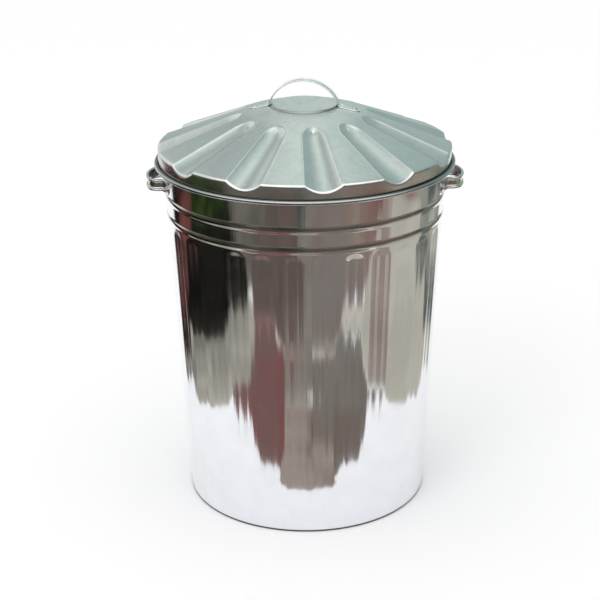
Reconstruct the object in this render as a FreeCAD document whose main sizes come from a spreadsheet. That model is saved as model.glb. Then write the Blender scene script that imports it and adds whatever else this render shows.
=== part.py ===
import FreeCAD, Part
import math
import os

import Sketcher

# A galvanised steel trash can and its lift-off lid, in millimetres.
# +Z is up, the origin is the centre of the can's foot, and -Y is the can's front.

doc = FreeCAD.newDocument("trash_can")

# how far a face may lie from a level plane and still end on it
END_TOLERANCE = 1e-4

# ---------------------------------------------------------------- driving dimensions

DIMENSIONS = {
    # sheet and wire
    "sheet": 0.6,
    "fit_clearance": 0.05,
    "wire_clearance": 0.35,
    "curl_gap_angle": 55,
    # the can's wall
    "can_height": 558.9,
    "foot_radius": 190.3,
    "mouth_radius": 217.0,
    "rim_curl_radius": 2.8,
    "swage_width": 12,
    "swage_rise": 1.2,
    "swage_spacing": 31,
    "swage_gap": 0.2,
    "flute_count": 30,
    "flute_turn": 1.2,
    "flute_bottom": 39.5,
    "flute_top_gap": 2,
    "flute_depth": 0.76,
    "flute_run_out": 13,
    "seam_width": 8,
    "seam_proud": 1.5,
    "hem_height": 10,
    # the floor of the can
    "floor_height": 16,
    "floor_panel_radius": 150,
    "floor_panel_rise": 3,
    # handle straps
    "strap_edge_radius": 2.3,
    "strap_web": 1.0,
    "strap_recess": 1.0,
    "strap_bend_radius": 5,
    "foot_plate": 1.6,
    # side handles
    "handle_drop": 41.9,
    "handle_width": 19,
    "handle_reach": 29.6,
    "handle_leg_offset": 36,
    "handle_bulge": 4.2,
    "handle_corner_radius": 15,
    "handle_rivet_inset": 17.5,
    # rivets
    "rivet_shank_radius": 2.4,
    "rivet_head_radius": 4.4,
    "rivet_head_rise": 2.0,
    "rivet_tail_radius": 3.8,
    "rivet_tail_rise": 1.2,
    # the lid
    "lid_turn": -8,
    "lid_side_clearance": 1.36,
    "lid_seat_clearance": 0.3,
    "lid_bead_radius": 3.5,
    "lid_skirt_rise": 25,
    "lid_skirt_flare": 1.2,
    "lid_cone_rise": 84,
    "lid_disc_radius": 49.5,
    "lid_disc_step": 2.6,
    "lid_disc_slope_run": 2,
    "lid_crown_width": 42.5,
    "lid_crown_drop": 8.8,
    "lid_flute_count": 12,
    "lid_flute_width": 55,
    "lid_flute_depth": 10.5,
    "lid_flute_inset": 18,
    "lid_flute_back": 75,
    # the lid's strap
    "lid_strap_width": 16,
    "lid_strap_edge_radius": 1.1,
    "lid_strap_recess": 0.4,
    "lid_strap_rise": 37.8,
    "lid_arch_margin": 7.5,
    "lid_rivet_inset": 19.5,
    "lid_foot_end": 9,
}

dims = doc.addObject("Spreadsheet::Sheet", "dims")
for row, (alias, number) in enumerate(DIMENSIONS.items(), start=1):
    dims.set(f"A{row}", alias)
    dims.set(f"B{row}", str(number))
    dims.setAlias(f"B{row}", alias)
doc.recompute()

places = doc.addObject("App::VarSet", "places")


def derive(name, formula):
    """Keep a worked-out place or size under a name that other formulas can use."""
    places.addProperty("App::PropertyFloat", name, "Derived")
    places.setExpression(name, formula)
    places.recompute()


def number(formula):
    """The value that a formula has now."""
    return float(dims.evalExpression(formula))


# ---------------------------------------------------------------- helpers

def wall(height, inset="0"):
    """Radius of the can's wall outside, or a given distance inside it, at a height."""
    return f"(dims.foot_radius + places.wall_slope * ({height}) - ({inset}))"


def new_body(name):
    return doc.addObject("PartDesign::Body", name)


def origin_feature(body, role):
    for feature in body.Origin.OriginFeatures:
        if feature.Role == role:
            return feature
    raise ValueError(role)


def new_sketch(body, name, plane):
    sketch = body.newObject("Sketcher::SketchObject", name)
    sketch.AttachmentSupport = [(origin_feature(body, plane), "")]
    sketch.MapMode = "FlatFace"
    return sketch


def bind(sketch, kind, places_of_constraint, formula):
    """Add one dimension to a sketch and tie it to its formula."""
    index = sketch.addConstraint(Sketcher.Constraint(kind, *places_of_constraint, number(formula)))
    name = f"size{index}"
    sketch.renameConstraint(index, name)
    sketch.setExpression(f"Constraints.{name}", formula)


def pin_point(sketch, edge, end, across, up):
    """Fix a point of an edge at two formulas, measured from the sketch's origin."""
    if across == "0":
        sketch.addConstraint(Sketcher.Constraint("PointOnObject", edge, end, -2))
    else:
        bind(sketch, "DistanceX", (-1, 1, edge, end), across)
    if up == "0":
        sketch.addConstraint(Sketcher.Constraint("PointOnObject", edge, end, -1))
    else:
        bind(sketch, "DistanceY", (-1, 1, edge, end), up)


def draw(sketch, points, arcs=None, closed=True):
    """Draw lines and arcs through points given as formulas.

    arcs maps the number of a segment to the formulas of its centre and "left" or "right",
    the way the path turns there.
    """
    arcs = arcs or {}
    count = len(points) if closed else len(points) - 1
    spots = [FreeCAD.Vector(number(across), number(up), 0) for across, up in points]
    ends = []
    for segment in range(count):
        start, stop = spots[segment], spots[(segment + 1) % len(spots)]
        if segment in arcs:
            centre_across, centre_up, turn = arcs[segment]
            centre = FreeCAD.Vector(number(centre_across), number(centre_up), 0)
            circle = Part.Circle(centre, FreeCAD.Vector(0, 0, 1), (start - centre).Length)
            first, last = (start, stop) if turn == "left" else (stop, start)
            low = math.atan2(first.y - centre.y, first.x - centre.x)
            high = math.atan2(last.y - centre.y, last.x - centre.x)
            if high <= low:
                high += 2 * math.pi
            edge = sketch.addGeometry(Part.ArcOfCircle(circle, low, high), False)
            ends.append((edge, 1, 2) if turn == "left" else (edge, 2, 1))
        else:
            edge = sketch.addGeometry(Part.LineSegment(start, stop), False)
            ends.append((edge, 1, 2))
    for segment in range(count):
        edge, begin, finish = ends[segment]
        pin_point(sketch, edge, begin, *points[segment])
        if segment + 1 < count or closed:
            following, following_begin, _ = ends[(segment + 1) % count]
            sketch.addConstraint(
                Sketcher.Constraint("Coincident", edge, finish, following, following_begin))
        else:
            pin_point(sketch, edge, finish, *points[segment + 1])
    for segment, (centre_across, centre_up, _) in arcs.items():
        edge = ends[segment][0]
        chord = spots[(segment + 1) % len(spots)] - spots[segment]
        if abs(chord.y) > abs(chord.x):
            if centre_across == "0":
                sketch.addConstraint(Sketcher.Constraint("PointOnObject", edge, 3, -2))
            else:
                bind(sketch, "DistanceX", (-1, 1, edge, 3), centre_across)
        else:
            bind(sketch, "DistanceY", (-1, 1, edge, 3), centre_up)


def revolve(body, name, points, arcs=None, axis="V_Axis", angle=None):
    """Turn a profile of the XZ plane into a solid, all the way round or over an angle."""
    sketch = new_sketch(body, name + "_profile", "XZ_Plane")
    draw(sketch, points, arcs)
    turned = body.newObject("PartDesign::Revolution", name)
    turned.Profile = sketch
    turned.ReferenceAxis = (sketch, [axis])
    turned.Angle = 360
    if angle:
        turned.Midplane = True
        turned.setExpression("Angle", angle)
    body.Tip = turned
    return turned


def repeat_round(body, name, feature, count):
    pattern = body.newObject("PartDesign::PolarPattern", name)
    pattern.Originals = [feature]
    pattern.Axis = (origin_feature(body, "Z_Axis"), [""])
    pattern.Angle = 360
    pattern.setExpression("Occurrences", count)
    body.Tip = pattern


def mirror(body, name, feature, plane):
    mirrored = body.newObject("PartDesign::Mirrored", name)
    mirrored.Originals = [feature]
    mirrored.MirrorPlane = (origin_feature(body, plane), [""])
    body.Tip = mirrored


def turn_about_z(thing, angle):
    thing.setExpression(
        "Placement", f"placement(vector(0; 0; 0); rotation(vector(0; 0; 1); {angle}))")


def cut(name, base, tool):
    result = doc.addObject("Part::Cut", name)
    result.Base = base
    result.Tool = tool
    return result


def fuse(name, shapes):
    result = doc.addObject("Part::MultiFuse", name)
    result.Shapes = shapes
    return result


def group(name, shapes):
    result = doc.addObject("Part::Compound", name)
    result.Links = shapes
    return result


def skin(name, outer, inner, levels):
    """The sheet between two forms that both end on the given level planes.

    It is closed face by face: the sides of both forms and a flat ring at each level.
    """
    doc.recompute()
    sides = []
    end_wires = {level: [] for level in levels}
    for form in (outer, inner):
        for face in form.Shape.Faces:
            low, high = face.BoundBox.ZMin, face.BoundBox.ZMax
            ends = [level for level in levels
                    if abs(low - level) < END_TOLERANCE and abs(high - level) < END_TOLERANCE]
            if ends:
                end_wires[ends[0]].append(face.OuterWire)
            else:
                sides.append(face)
    rings = [Part.makeFace(wires, "Part::FaceMakerBullseye") for wires in end_wires.values()]
    closed = Part.Solid(Part.Shell(sides + [face for ring in rings for face in ring.Faces]))
    closed.fix(END_TOLERANCE, END_TOLERANCE, END_TOLERANCE)
    if closed.Volume < 0:
        closed.reverse()
    sheet = doc.addObject("Part::Feature", name)
    sheet.Shape = closed
    return sheet


def curl_band(centre_across, centre_up, radius, rolled):
    """Section of an edge rolled round a wire, from the sheet's tangent to the open gap.

    rolled is 1 for a roll that leaves the sheet upwards and -1 for one that leaves it downwards.
    """
    stop = "(180 - dims.curl_gap_angle)"

    def along(size):
        return [
            (f"{centre_across} - {size}", centre_up),
            (centre_across, f"{centre_up} + {rolled} * {size}"),
            (f"{centre_across} + {size}", centre_up),
            (f"{centre_across} + {size} * cos{stop}", f"{centre_up} - {rolled} * {size} * sin{stop}"),
        ]

    points = along(radius) + along(f"({radius} - dims.sheet)")[::-1]
    out, back = ("right", "left") if rolled == 1 else ("left", "right")
    arcs = {n: (centre_across, centre_up, out) for n in (0, 1, 2)}
    arcs.update({n: (centre_across, centre_up, back) for n in (4, 5, 6)})
    return points, arcs


def strap_section(across, up, half_width, edge, recess, edge_first):
    """Section of a strap: two rolled edges and a web set back between them.

    edge_first puts the strap's width along the sketch's first axis.
    """
    face = f"(dims.strap_web / 2 - {recess})"
    back = f"(-dims.strap_web / 2 - {recess})"
    centre = f"({half_width} - {edge})"
    face_reach = f"({centre} - sqrt({edge}^2 - {face}^2))"
    back_reach = f"({centre} - sqrt({edge}^2 - {back}^2))"
    corners = [(face, face_reach), (face, f"(-{face_reach})"), ("0", f"(-{half_width})"),
               (back, f"(-{back_reach})"), (back, back_reach), ("0", half_width)]
    centres = {1: f"(-{centre})", 2: f"(-{centre})", 4: centre, 5: centre}
    if edge_first:
        points = [(f"{across} + {along}", f"{up} + {depth}") for depth, along in corners]
        arcs = {n: (f"{across} + {along}", up, "left") for n, along in centres.items()}
    else:
        points = [(f"{across} + {depth}", f"{up} + {along}") for depth, along in corners]
        arcs = {n: (across, f"{up} + {along}", "right") for n, along in centres.items()}
    return points, arcs


# ---------------------------------------------------------------- worked-out places

# the wall's outside radius grows evenly from the foot to the top of the rim
derive("wall_slope", "(dims.mouth_radius - dims.foot_radius) / dims.can_height")
derive("wall_tilt", "atan(places.wall_slope) / 1deg")

# centre of the curl at the can's mouth, whose inner side continues the wall's inside
derive("rim_up", "dims.can_height - dims.rim_curl_radius")
derive("rim_across", f"{wall('places.rim_up', 'dims.sheet')} + dims.rim_curl_radius")

# down the wall from the rim: the handles, the two swages just under them, then the flutes
derive("handle_height", "places.rim_up - dims.handle_drop")
derive("handle_half", "dims.handle_width / 2")
derive("upper_swage", "places.handle_height - places.handle_half - dims.swage_gap"
                      " - dims.swage_width / 2")
derive("lower_swage", "places.upper_swage - dims.swage_spacing")
derive("flute_top", "places.lower_swage - dims.swage_width / 2 - dims.flute_top_gap")

# the lid's skirt passes over that curl, and its bead continues the skirt's inside
derive("skirt_inside", "places.rim_across + dims.rim_curl_radius + dims.lid_side_clearance")
derive("bead_across", "places.skirt_inside + dims.lid_bead_radius")
derive("corner_across", "places.skirt_inside + dims.sheet + dims.lid_skirt_flare")

# round the disc the lid is a flat crown, and outside that a steeper cone with the flutes in it
derive("crown_radius", "dims.lid_disc_radius + dims.lid_crown_width")
derive("crown_slope", "dims.lid_crown_drop / dims.lid_crown_width")
derive("crown_tilt", "atan(places.crown_slope) / 1deg")
derive("lid_slope", "(dims.lid_cone_rise - dims.lid_crown_drop - dims.lid_skirt_rise)"
                    " / (places.corner_across - places.crown_radius)")
derive("lid_tilt", "atan(places.lid_slope) / 1deg")
derive("lid_side", "places.corner_across / cos(places.lid_tilt)")

# each lid flute is cut by a cone whose point lies on the far side of the lid's peak
derive("flute_start", "places.crown_radius + dims.lid_flute_inset")
derive("flute_side", "places.lid_side + dims.lid_flute_back")
derive("flute_radius", "(dims.lid_flute_width^2 / 4 + dims.lid_flute_depth^2)"
                       " / (2 * dims.lid_flute_depth)")
derive("flute_axis_tilt", "places.lid_tilt"
       " - atan((places.flute_radius - dims.lid_flute_depth) / places.flute_side) / 1deg")
derive("flute_floor_tilt", "places.lid_tilt + atan(dims.lid_flute_depth / places.flute_side) / 1deg")
derive("flute_point_back", "dims.lid_flute_back * cos(places.lid_tilt)")

# the lid rests with the floors of its flutes on the can's curl
derive("flute_point_up", "places.rim_up + ((places.rim_across + places.flute_point_back)"
                         " * sin(places.flute_floor_tilt) + dims.rim_curl_radius"
                         " + dims.lid_seat_clearance + dims.sheet) / cos(places.flute_floor_tilt)")
derive("peak_up", "places.flute_point_up - dims.lid_flute_back * sin(places.lid_tilt)")
derive("bead_up", "places.peak_up - dims.lid_skirt_rise - places.lid_slope * places.corner_across")
derive("crown_peak_up", "places.bead_up + dims.lid_cone_rise"
                        " + places.crown_slope * dims.lid_disc_radius")
derive("disc_up", "places.bead_up + dims.lid_cone_rise + dims.lid_disc_step")
derive("strap_top", "places.disc_up + dims.lid_strap_rise")

# ---------------------------------------------------------------- the can's wall


def can_form(name, inset):
    """A solid of the wall's outline: the outer one, or the hollow that makes it a sheet."""
    body = new_body(name)
    top = "places.rim_up"
    points = [("0", "0"), (wall("0", inset), "0")]
    arcs = {}
    half = "dims.swage_width / 2"
    chord_half = f"({half} / cos(places.wall_tilt))"
    swage_radius = f"(({chord_half}^2 + dims.swage_rise^2) / (2 * dims.swage_rise))"
    drop = f"({swage_radius} - dims.swage_rise)"
    for swage in ("places.lower_swage", "places.upper_swage"):
        low = f"({swage} - {half})"
        high = f"({swage} + {half})"
        arcs[len(points)] = (f"{wall(swage, inset)} - {drop} * cos(places.wall_tilt)",
                             f"{swage} + {drop} * sin(places.wall_tilt)", "left")
        points.append((wall(low, inset), low))
        points.append((wall(high, inset), high))
    points.append((wall(top, inset), top))
    points.append(("0", top))
    revolve(body, name + "_turned", points, arcs)

    # one shallow flute with a flat floor that runs out at both ends, then all of them
    ramp_low = "(dims.flute_bottom + dims.flute_run_out)"
    ramp_high = "(places.flute_top - dims.flute_run_out)"
    beyond = "dims.flute_depth"
    flute = new_sketch(body, name + "_flute_profile", "XZ_Plane")
    draw(flute, [
        (wall("dims.flute_bottom", inset), "dims.flute_bottom"),
        (f"{wall('dims.flute_bottom', inset)} + {beyond}", "dims.flute_bottom"),
        (f"{wall('places.flute_top', inset)} + {beyond}", "places.flute_top"),
        (wall("places.flute_top", inset), "places.flute_top"),
        (f"{wall(ramp_high, inset)} - dims.flute_depth", ramp_high),
        (f"{wall(ramp_low, inset)} - dims.flute_depth", ramp_low),
    ])
    pocket = body.newObject("PartDesign::Pocket", name + "_flute")
    pocket.Profile = flute
    pocket.Midplane = True
    pocket.setExpression("Length", "2 * dims.foot_radius * tan(180 / dims.flute_count)")
    body.Tip = pocket
    repeat_round(body, name + "_flutes", pocket, "dims.flute_count")
    turn_about_z(body, "dims.flute_turn")
    return body


wall_sheet = skin("wall_sheet", can_form("can_outer_form", "0"),
                  can_form("can_inner_form", "dims.sheet"), [0, number("places.rim_up")])

# the mouth's edge is rolled outwards over a wire
rim_curl = new_body("rim_curl")
revolve(rim_curl, "rim_curl_turned",
        *curl_band("places.rim_across", "places.rim_up", "dims.rim_curl_radius", 1))

# the foot's edge is folded in and up, and holds the flange of the floor
hem_gap = "(dims.sheet + 2 * dims.fit_clearance)"
hem_inside = f"(dims.sheet + {hem_gap})"
hem = new_body("hem")
revolve(hem, "hem_turned", [
    (wall("0", "dims.sheet"), "0"),
    (wall("dims.sheet", "dims.sheet"), "dims.sheet"),
    (wall("dims.sheet", hem_inside), "dims.sheet"),
    (wall("dims.hem_height", hem_inside), "dims.hem_height"),
    (wall("dims.hem_height", f"{hem_inside} + dims.sheet"), "dims.hem_height"),
    (wall("0", f"{hem_inside} + dims.sheet"), "0"),
])

# the lock seam stands proud at the back, on the strip between two flutes
seam_low = "(dims.hem_height + dims.sheet)"
seam_high = "(places.rim_up - dims.rim_curl_radius - dims.sheet)"
seam = new_body("seam")
revolve(seam, "seam_turned", [
    (wall(seam_low, "dims.sheet / 2"), seam_low),
    (wall(seam_low, "-dims.seam_proud"), seam_low),
    (wall(seam_high, "-dims.seam_proud"), seam_high),
    (wall(seam_high, "dims.sheet / 2"), seam_high),
], angle="dims.seam_width / dims.foot_radius * 180deg / pi")
turn_about_z(seam, "dims.flute_turn + (floor(dims.flute_count / 4) + 0.5) * 360 / dims.flute_count")

can_sheet = fuse("can_sheet", [wall_sheet, rim_curl, hem, seam])


def ring_wire(name, centre_across, centre_up, curl_radius):
    """The round wire inside a curl."""
    ring = doc.addObject("Part::Torus", name)
    ring.Label = name
    ring.setExpression("Radius1", centre_across)
    ring.setExpression("Radius2", f"{curl_radius} - dims.sheet - dims.wire_clearance")
    ring.setExpression("Placement.Base.z", centre_up)
    return ring


body_rim_wire = ring_wire("body_rim_wire", "places.rim_across", "places.rim_up",
                          "dims.rim_curl_radius")

# the pressed floor: a raised panel, a ledge round it and a flange down into the hem
base_pan = new_body("base_pan")
floor_top = "dims.floor_height"
floor_under = "(dims.floor_height - dims.sheet)"
flange_outside = "(dims.sheet + dims.fit_clearance)"
flange_inside = f"({flange_outside} + dims.sheet)"
flange_end = "(dims.sheet + dims.fit_clearance)"
panel_top = "(dims.floor_height + dims.floor_panel_rise)"
panel_under = f"({panel_top} - dims.sheet)"
panel_edge = "(dims.floor_panel_radius + dims.floor_panel_rise)"
revolve(base_pan, "base_pan_turned", [
    ("0", panel_under),
    ("dims.floor_panel_radius - dims.sheet / 2", panel_under),
    (f"{panel_edge} - dims.sheet / 2", floor_under),
    (wall(floor_under, flange_inside), floor_under),
    (wall(flange_end, flange_inside), flange_end),
    (wall(flange_end, flange_outside), flange_end),
    (wall(floor_top, flange_outside), floor_top),
    (panel_edge, floor_top),
    ("dims.floor_panel_radius", panel_top),
    ("0", panel_top),
])

# ---------------------------------------------------------------- rivets


def rivet(name, placement):
    """A round-headed rivet along its own X axis, from the outer face of the sheet.

    The head lies on the foot plate and the tail lies inside the sheet.
    """
    body = new_body(name)
    head_seat = "(dims.foot_plate + 2 * dims.fit_clearance)"
    tail_seat = "(-dims.sheet - 2 * dims.fit_clearance)"
    dome = "((dims.rivet_head_radius^2 + dims.rivet_head_rise^2) / (2 * dims.rivet_head_rise))"
    revolve(body, name + "_turned", [
        (f"{tail_seat} - dims.rivet_tail_rise", "0"),
        (f"{tail_seat} - dims.rivet_tail_rise", "dims.rivet_tail_radius"),
        (tail_seat, "dims.rivet_tail_radius"),
        (tail_seat, "dims.rivet_shank_radius"),
        (head_seat, "dims.rivet_shank_radius"),
        (head_seat, "dims.rivet_head_radius"),
        (f"{head_seat} + dims.rivet_head_rise", "0"),
    ], {5: (f"{head_seat} + dims.rivet_head_rise - {dome}", "0", "right")}, axis="H_Axis")
    body.setExpression("Placement", placement)
    return body


def rivet_hole(name, placement):
    hole = doc.addObject("Part::Cylinder", name)
    hole.setExpression("Radius", "dims.rivet_shank_radius + dims.fit_clearance")
    hole.setExpression("Height", "2 * (dims.foot_plate + dims.sheet) + 2 * dims.strap_edge_radius")
    hole.setExpression("Placement", f"{placement} * placement(vector(-dims.foot_plate - dims.sheet; 0; 0);"
                                    " rotation(vector(0; 1; 0); 90))")
    return hole


# ---------------------------------------------------------------- side handles

# the strap's middle line in plan: a bow, a corner, a short leg and a bend onto the wall
handle_wall = wall("places.handle_height")
derive("handle_plan_far", f"{handle_wall} + dims.handle_reach - dims.strap_edge_radius")
derive("handle_foot_line", f"{wall('places.handle_height + places.handle_half')}"
       " + dims.fit_clearance + dims.strap_edge_radius")
derive("corner_centre_y", "dims.handle_leg_offset - dims.handle_corner_radius")
derive("corner_centre_x", "places.handle_plan_far - dims.handle_corner_radius - dims.handle_bulge")
derive("bow_radius", "dims.handle_corner_radius + dims.handle_bulge / 2"
       " + places.corner_centre_y^2 / (2 * dims.handle_bulge)")
derive("bow_centre", "places.handle_plan_far - places.bow_radius")
derive("corner_turn", "atan(places.corner_centre_y"
       " / (places.corner_centre_x - places.bow_centre)) / 1deg")
derive("bend_centre_y", "dims.handle_leg_offset + dims.strap_bend_radius")
derive("bend_reach", "places.handle_foot_line + dims.strap_bend_radius")
derive("bend_turn", "asin(places.bend_centre_y / places.bend_reach) / 1deg")
derive("bend_centre_x", "places.bend_reach * cos(places.bend_turn)")
derive("handle_rivet_y", "places.bend_centre_y + dims.handle_rivet_inset")
derive("handle_rivet_turn", f"asin(places.handle_rivet_y / {handle_wall}) / 1deg")


def sweep(body, name, path_plane, path_points, path_arcs, section_plane, section):
    """Sweep a section along an open path of lines and arcs."""
    path = new_sketch(body, name + "_path", path_plane)
    draw(path, path_points, path_arcs, closed=False)
    profile = new_sketch(body, name + "_section", section_plane)
    draw(profile, *section)
    swept = body.newObject("PartDesign::AdditivePipe", name)
    swept.Profile = profile
    swept.Spine = (path, [f"Edge{n + 1}" for n in range(len(path_points) - 1)])
    body.Tip = swept
    return swept


def handle_bow():
    """The strap's loop, from wall to wall, without its flattened feet."""
    body = new_body("handle_bow")
    past_bend = ("(places.bend_turn + dims.strap_bend_radius / places.handle_foot_line"
                 " * 180 / pi)")
    path = [
        ("places.handle_plan_far", "0"),
        ("places.bow_centre + places.bow_radius * cos(places.corner_turn)",
         "places.bow_radius * sin(places.corner_turn)"),
        ("places.corner_centre_x", "dims.handle_leg_offset"),
        ("places.bend_centre_x", "dims.handle_leg_offset"),
        ("places.handle_foot_line * cos(places.bend_turn)",
         "places.handle_foot_line * sin(places.bend_turn)"),
        (f"places.handle_foot_line * cos({past_bend})",
         f"places.handle_foot_line * sin({past_bend})"),
    ]
    arcs = {
        0: ("places.bow_centre", "0", "left"),
        1: ("places.corner_centre_x", "places.corner_centre_y", "left"),
        3: ("places.bend_centre_x", "places.bend_centre_y", "right"),
        4: ("0", "0", "left"),
    }
    section = strap_section("places.handle_plan_far", "0", "places.handle_half",
                            "dims.strap_edge_radius", "dims.strap_recess", False)
    swept = sweep(body, "handle_strap", "XY_Plane", path, arcs, "XZ_Plane", section)
    mirror(body, "handle_strap_both", swept, "XZ_Plane")
    body.setExpression("Placement.Base.z", "places.handle_height")
    return body


def handle_feet():
    """The two flattened feet: the wall's own cone, trimmed to a round-ended outline."""
    band = new_body("handle_foot_band")
    low = "(places.handle_height - places.handle_half)"
    high = "(places.handle_height + places.handle_half)"
    seat = "-dims.fit_clearance"
    face = "-dims.fit_clearance - dims.foot_plate"
    revolve(band, "handle_foot_band_turned", [
        (wall(low, seat), low),
        (wall(low, face), low),
        (wall(high, face), high),
        (wall(high, seat), high),
    ], angle=f"2 * asin((places.handle_rivet_y + dims.handle_width) / {handle_wall})")
    outline = new_body("handle_foot_outline")
    sketch = new_sketch(outline, "handle_foot_outline_sketch", "YZ_Plane")
    start = "(dims.handle_leg_offset + dims.strap_bend_radius)"
    draw(sketch, [(start, low), ("places.handle_rivet_y", low),
                  ("places.handle_rivet_y", high), (start, high)],
         {1: ("places.handle_rivet_y", "places.handle_height", "left")})
    pad = outline.newObject("PartDesign::Pad", "handle_foot_outline_pad")
    pad.Profile = sketch
    pad.setExpression("Length", "2 * dims.mouth_radius")
    outline.Tip = pad
    mirror(outline, "handle_foot_outline_both", pad, "XZ_Plane")
    feet = doc.addObject("Part::Common", "handle_feet")
    feet.Base = band
    feet.Tool = outline
    return feet


def on_wall(side, end):
    """Placement of a side handle's rivet: X along the wall's outward normal."""
    angle = f"({180 if side == 'left' else 0} + {end} * places.handle_rivet_turn)"
    return (f"placement(vector({handle_wall} * cos({angle}); {handle_wall} * sin({angle});"
            f" places.handle_height); rotation(vector(0; 0; 1); {angle})"
            " * rotation(vector(0; 1; 0); places.wall_tilt))")


handle_blank = fuse("handle_blank", [handle_bow(), handle_feet()])
can_holes = []
for side in ("left", "right"):
    holes = [rivet_hole(f"hole_{side}_{n}", on_wall(side, end)) for n, end in enumerate((-1, 1))]
    can_holes += holes
    turned = doc.addObject("Part::Compound", f"handle_blank_{side}")
    turned.Links = [handle_blank]
    turn_about_z(turned, "180" if side == "left" else "0")
    handle = cut(f"handle_{side}", turned, group(f"holes_{side}", holes))
    handle.Label = f"handle_{side}"
    rivets = [rivet(f"rivet_{side}_{n}", on_wall(side, end)) for n, end in enumerate((-1, 1))]
    group(f"handle_rivets_{side}", rivets).Label = f"handle_rivets_{side}"

body_shell = cut("body_shell", can_sheet, group("can_holes", can_holes))

# ---------------------------------------------------------------- the lid


def lid_form(name, thin):
    """A solid of the lid's outline: the outer one, or the hollow that makes it a sheet."""
    body = new_body(name)
    steep = "cos(places.lid_tilt)"
    flat = "cos(places.crown_tilt)"
    disc_foot = "(dims.lid_disc_radius + dims.lid_disc_slope_run)"
    disc_foot_up = f"(places.crown_peak_up - {thin} / {flat} - places.crown_slope * {disc_foot})"
    edge = (f"(places.crown_radius - {thin} * (1 / {steep} - 1 / {flat})"
            " / (places.lid_slope - places.crown_slope))")
    edge_up = f"(places.peak_up - {thin} / {steep} - places.lid_slope * {edge})"
    corner = f"(places.corner_across - {thin})"
    corner_top = f"(places.peak_up - {thin} / {steep} - places.lid_slope * {corner})"
    revolve(body, name + "_turned", [
        ("0", "places.bead_up"),
        (f"(places.skirt_inside + dims.sheet - {thin})", "places.bead_up"),
        (corner, corner_top),
        (edge, edge_up),
        (disc_foot, disc_foot_up),
        ("dims.lid_disc_radius", f"places.disc_up - {thin}"),
        ("0", f"places.disc_up - {thin}"),
    ])

    # one flute, cut by a cone with a round inner end
    start = "((places.flute_start + places.flute_point_back) / cos(places.flute_axis_tilt))"
    spread = "(places.flute_floor_tilt - places.flute_axis_tilt)"
    ball = f"({start} * sin{spread})"
    grown = f"({ball} + {thin})"
    ball_up = f"(places.flute_point_up - {start} * sin(places.flute_axis_tilt))"
    floor_far = f"({start} * cos{spread} + places.lid_side)"
    axis_far = f"({start} + places.lid_side)"
    sketch = new_sketch(body, name + "_flute_profile", "XZ_Plane")
    draw(sketch, [
        (f"places.flute_start - {grown} * cos(places.flute_axis_tilt)",
         f"{ball_up} + {grown} * sin(places.flute_axis_tilt)"),
        (f"places.flute_start - {grown} * sin(places.flute_floor_tilt)",
         f"{ball_up} - {grown} * cos(places.flute_floor_tilt)"),
        (f"{floor_far} * cos(places.flute_floor_tilt) - {thin} * sin(places.flute_floor_tilt)"
         " - places.flute_point_back",
         f"places.flute_point_up - {floor_far} * sin(places.flute_floor_tilt)"
         f" - {thin} * cos(places.flute_floor_tilt)"),
        (f"{axis_far} * cos(places.flute_axis_tilt) - places.flute_point_back",
         f"places.flute_point_up - {axis_far} * sin(places.flute_axis_tilt)"),
    ], {0: ("places.flute_start", ball_up, "left")})
    groove = body.newObject("PartDesign::Groove", name + "_flute")
    groove.Profile = sketch
    groove.ReferenceAxis = (sketch, ["Edge4"])
    groove.Angle = 360
    body.Tip = groove
    repeat_round(body, name + "_flutes", groove, "dims.lid_flute_count")
    turn_about_z(body, "dims.lid_turn + 180 / dims.lid_flute_count")
    return body


lid_sheet = skin("lid_sheet", lid_form("lid_outer_form", "0"),
                 lid_form("lid_inner_form", "dims.sheet"), [number("places.bead_up")])
lid_curl = new_body("lid_curl")
revolve(lid_curl, "lid_curl_turned",
        *curl_band("places.bead_across", "places.bead_up", "dims.lid_bead_radius", -1))
lid_rim_wire = ring_wire("lid_rim_wire", "places.bead_across", "places.bead_up",
                         "dims.lid_bead_radius")

# the lid's strap: an arch that lands just outside the disc, a bend and a foot down the cone,
# all in the lid's own XZ plane
derive("lid_arch_radius", "dims.lid_disc_radius + dims.lid_arch_margin")
derive("arch_centre_up", "places.strap_top - dims.lid_strap_edge_radius - places.lid_arch_radius")
derive("foot_line_lift", "(dims.fit_clearance + dims.lid_strap_edge_radius) / cos(places.crown_tilt)")
derive("bend_line_lift", "places.foot_line_lift + dims.strap_bend_radius / cos(places.crown_tilt)")
derive("bend_gap", "places.crown_peak_up + places.bend_line_lift - places.arch_centre_up")
derive("arch_span", "places.lid_arch_radius + dims.strap_bend_radius")
derive("lid_bend_x", "(places.crown_slope * places.bend_gap + sqrt((places.crown_slope"
       " * places.bend_gap)^2 - (1 + places.crown_slope^2) * (places.bend_gap^2"
       " - places.arch_span^2))) / (1 + places.crown_slope^2)")
derive("lid_bend_up", "places.crown_peak_up + places.bend_line_lift - places.crown_slope * places.lid_bend_x")
derive("lid_foot_start", "places.lid_bend_x - dims.strap_bend_radius * sin(places.crown_tilt)")
derive("lid_strap_half", "dims.lid_strap_width / 2")
derive("lid_rivet_across", "places.lid_foot_start + dims.lid_rivet_inset")
derive("lid_foot_tip", "places.lid_rivet_across + dims.lid_foot_end")


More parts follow.
